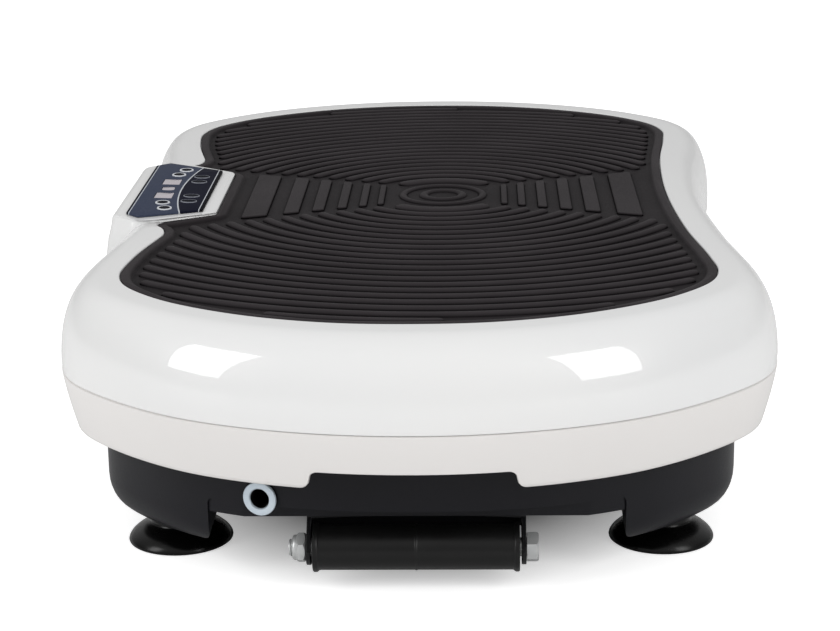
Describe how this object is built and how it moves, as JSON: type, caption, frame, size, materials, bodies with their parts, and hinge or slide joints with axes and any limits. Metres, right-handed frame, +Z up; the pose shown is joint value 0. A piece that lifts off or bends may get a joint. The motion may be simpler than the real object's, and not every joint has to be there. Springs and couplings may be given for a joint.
{
  "type": "vibration plate",
  "caption": "See-saw vibration plate: rounded white platform with ribbed rubber mat and side console, on a low black base with suction feet and a transport roller.",
  "frame": {"origin": "on the floor under the middle of the plate", "axes": "+X along the length towards the transport roller, -Y towards the console side, +Z up"},
  "size_m": [0.68, 0.4, 0.1541],
  "materials": {
    "shell_white": "glossy",
    "skirt_white": "glossy",
    "mat_rubber": "satin ribbed rubber",
    "base_black": "satin",
    "foot_rubber": "glossy",
    "roller_black": "satin",
    "black_steel": "satin",
    "zinc": "zinc plated",
    "blue_zinc": "blue-white passivated zinc",
    "grey_steel": "ground",
    "cast_grey": "as cast",
    "black_rubber": "matt",
    "label_film": "satin film",
    "display_lens": "glossy",
    "key_silver": "satin",
    "key_dark": "satin",
    "board_green": "solder mask",
    "switch_black": "satin"
  },
  "bodies": {
    "root": {"base_tray": "base_black", "roller_bracket": "black_steel", "roller_bolt": "zinc", "roller_nut": "zinc", "band_anchor_ring": "blue_zinc", "rocker_shaft": "grey_steel", "rocker_block_left": "cast_grey", "rocker_block_right": "cast_grey", "crank_bearing_left": "cast_grey", "crank_bearing_right": "cast_grey", "motor_body": "black_steel", "motor_bracket": "cast_grey", "drive_belt": "black_rubber", "control_board": "board_green", "mains_inlet": "switch_black", "switch_frame": "switch_black", "buffer_front_left": "black_rubber", "suction_foot_front_left": "foot_rubber", "foot_bolt_front_left": "zinc", "buffer_front_right": "black_rubber", "suction_foot_front_right": "foot_rubber", "foot_bolt_front_right": "zinc", "buffer_rear_left": "black_rubber", "suction_foot_rear_left": "foot_rubber", "foot_bolt_rear_left": "zinc", "buffer_rear_right": "black_rubber", "suction_foot_rear_right": "foot_rubber", "foot_bolt_rear_right": "zinc"},
    "platform": {"platform_cover": "shell_white", "standing_mat": "mat_rubber", "platform_skirt": "skirt_white", "deck_plate": "black_steel", "rocker_yoke": "black_steel", "rocker_bush_left": "black_rubber", "rocker_bush_right": "black_rubber", "drive_fork": "black_steel", "console_label": "label_film", "display_near": "display_lens", "display_far": "display_lens", "infrared_window": "display_lens", "console_board": "board_green"},
    "crank": {"crank_shaft": "grey_steel", "crank_pulley": "cast_grey"},
    "rod": {"connecting_rod": "cast_grey", "wrist_pin": "grey_steel"},
    "motor_rotor": {"motor_pulley": "grey_steel"},
    "roller": {"transport_roller": "roller_black"},
    "switch_rocker": {"power_switch": "switch_black"},
    "key_program_cap": {"key_program": "key_silver"},
    "key_time_up_cap": {"key_time_up": "key_silver"},
    "key_time_down_cap": {"key_time_down": "key_silver"},
    "key_start_cap": {"key_start": "key_silver"},
    "key_speed_up_cap": {"key_speed_up": "key_dark"},
    "key_speed_down_cap": {"key_speed_down": "key_dark"},
    "key_mode_cap": {"key_mode": "key_dark"},
    "key_stop_cap": {"key_stop": "key_dark"}
  },
  "joints": [
    {"name": "platform_rock", "type": "hinge", "parent": "root", "child": "platform", "pos_m": [0, 0, 0.112], "axis": [0, 1, 0], "range_deg": [-1.5, 1.5], "stiffness_Nm_per_rad": 900},
    {"name": "crank_spin", "type": "hinge", "parent": "root", "child": "crank", "pos_m": [0.15, 0, 0.08], "axis": [0, 1, 0], "continuous": true},
    {"name": "rod_pivot", "type": "hinge", "parent": "crank", "child": "rod", "pos_m": [0.15393, 0, 0.08], "axis": [0, 1, 0], "continuous": true},
    {"name": "motor_spin", "type": "hinge", "parent": "root", "child": "motor_rotor", "pos_m": [0.236, 0, 0.086], "axis": [0, 1, 0], "continuous": true},
    {"name": "roller_spin", "type": "hinge", "parent": "root", "child": "roller", "pos_m": [0.29, 0, 0.0228], "axis": [0, 1, 0], "continuous": true},
    {"name": "switch_tip", "type": "hinge", "parent": "root", "child": "switch_rocker", "pos_m": [-0.3, 0.022, 0.062], "axis": [0, 0, 1], "range_deg": [-6, 6]},
    {"name": "key_program_press", "type": "slide", "parent": "platform", "child": "key_program_cap", "axis": [0, -0.0314, -0.9995], "range_m": [0, 0.0005], "stiffness_N_per_m": 300},
    {"name": "key_time_up_press", "type": "slide", "parent": "platform", "child": "key_time_up_cap", "axis": [0, -0.0314, -0.9995], "range_m": [0, 0.0005], "stiffness_N_per_m": 300},
    {"name": "key_time_down_press", "type": "slide", "parent": "platform", "child": "key_time_down_cap", "axis": [0, -0.0314, -0.9995], "range_m": [0, 0.0005], "stiffness_N_per_m": 300},
    {"name": "key_start_press", "type": "slide", "parent": "platform", "child": "key_start_cap", "axis": [0, -0.0314, -0.9995], "range_m": [0, 0.0005], "stiffness_N_per_m": 300},
    {"name": "key_speed_up_press", "type": "slide", "parent": "platform", "child": "key_speed_up_cap", "axis": [0, -0.0314, -0.9995], "range_m": [0, 0.0005], "stiffness_N_per_m": 300},
    {"name": "key_speed_down_press", "type": "slide", "parent": "platform", "child": "key_speed_down_cap", "axis": [0, -0.0314, -0.9995], "range_m": [0, 0.0005], "stiffness_N_per_m": 300},
    {"name": "key_mode_press", "type": "slide", "parent": "platform", "child": "key_mode_cap", "axis": [0, -0.0314, -0.9995], "range_m": [0, 0.0005], "stiffness_N_per_m": 300},
    {"name": "key_stop_press", "type": "slide", "parent": "platform", "child": "key_stop_cap", "axis": [0, -0.0314, -0.9995], "range_m": [0, 0.0005], "stiffness_N_per_m": 300}
  ],
  "couplings": [
    {"joint": "rod_pivot", "follows": "crank_spin", "ratio": -1},
    {"joint": "motor_spin", "follows": "crank_spin", "ratio": 2.1628}
  ]
}
